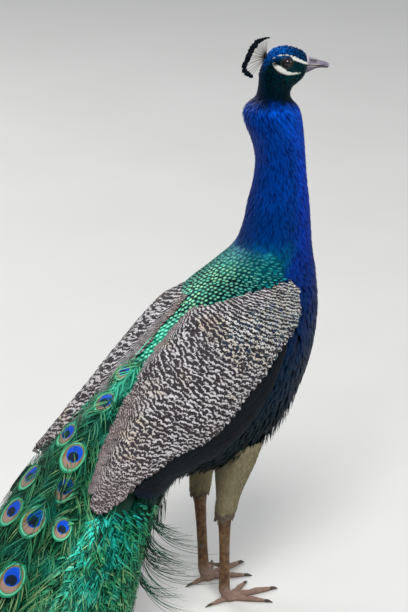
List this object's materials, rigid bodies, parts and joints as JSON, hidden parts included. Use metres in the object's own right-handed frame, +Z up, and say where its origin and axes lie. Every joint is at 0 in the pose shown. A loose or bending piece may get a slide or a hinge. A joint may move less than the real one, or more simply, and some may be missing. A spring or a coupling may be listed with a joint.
{
  "type": "peacock",
  "caption": "Indian peacock standing at rest, neck upright, head turned to its right, wings folded and long train lying back on the floor.",
  "frame": {"origin": "centre of the bounding box's bottom face, on the floor the bird stands on", "axes": "+X from the train towards the breast, +Y to the bird's left, +Z up; the head alone is turned 40 degrees towards -Y"},
  "size_m": [1.5859, 0.3648, 0.862],
  "materials": {
    "neck_feathers": "silky iridescent cobalt blue feathers",
    "crest_feathers": "bare tan shafts with blue-black tips",
    "body_feathers": "emerald scale feathers above, blue-black below",
    "barred_feathers": "matte feathers barred in cream and brown-black",
    "flight_feathers": "blue-black flight feathers, slightly glossy",
    "tail_feathers": "matte brown tail feathers",
    "train_feathers": "iridescent green-bronze feathers with eye spots",
    "thigh_feathers": "short buff feathers",
    "leg_skin": "scaly reddish brown skin",
    "bill": "lilac grey horn",
    "claw": "dark horn",
    "eye": "wet dark brown"
  },
  "bodies": {
    "root": {"bill_lower": "bill", "bill_upper": "bill", "claw_left_hind": "claw", "claw_left_inner": "claw", "claw_left_middle": "claw", "claw_left_outer": "claw", "claw_right_hind": "claw", "claw_right_inner": "claw", "claw_right_middle": "claw", "claw_right_outer": "claw", "crest": "crest_feathers", "eye_left": "eye", "eye_right": "eye", "foot_left": "leg_skin", "foot_right": "leg_skin", "head": "neck_feathers", "neck_lower": "neck_feathers", "neck_upper": "neck_feathers", "shank_left": "leg_skin", "shank_right": "leg_skin", "spur_left": "claw", "spur_right": "claw", "tail": "tail_feathers", "thigh_left": "thigh_feathers", "thigh_right": "thigh_feathers", "toe_left_hind": "leg_skin", "toe_left_inner": "leg_skin", "toe_left_middle": "leg_skin", "toe_left_outer": "leg_skin", "toe_right_hind": "leg_skin", "toe_right_inner": "leg_skin", "toe_right_middle": "leg_skin", "toe_right_outer": "leg_skin", "train_end": "train_feathers", "train_middle": "train_feathers", "train_root": "train_feathers", "train_upper": "train_feathers", "trunk": "body_feathers", "wing_left_coverts": "barred_feathers", "wing_left_scapulars": "barred_feathers", "wing_left_secondaries": "flight_feathers", "wing_left_tertials": "barred_feathers", "wing_right_coverts": "barred_feathers", "wing_right_scapulars": "barred_feathers", "wing_right_secondaries": "flight_feathers", "wing_right_tertials": "barred_feathers"}
  },
  "joints": []
}
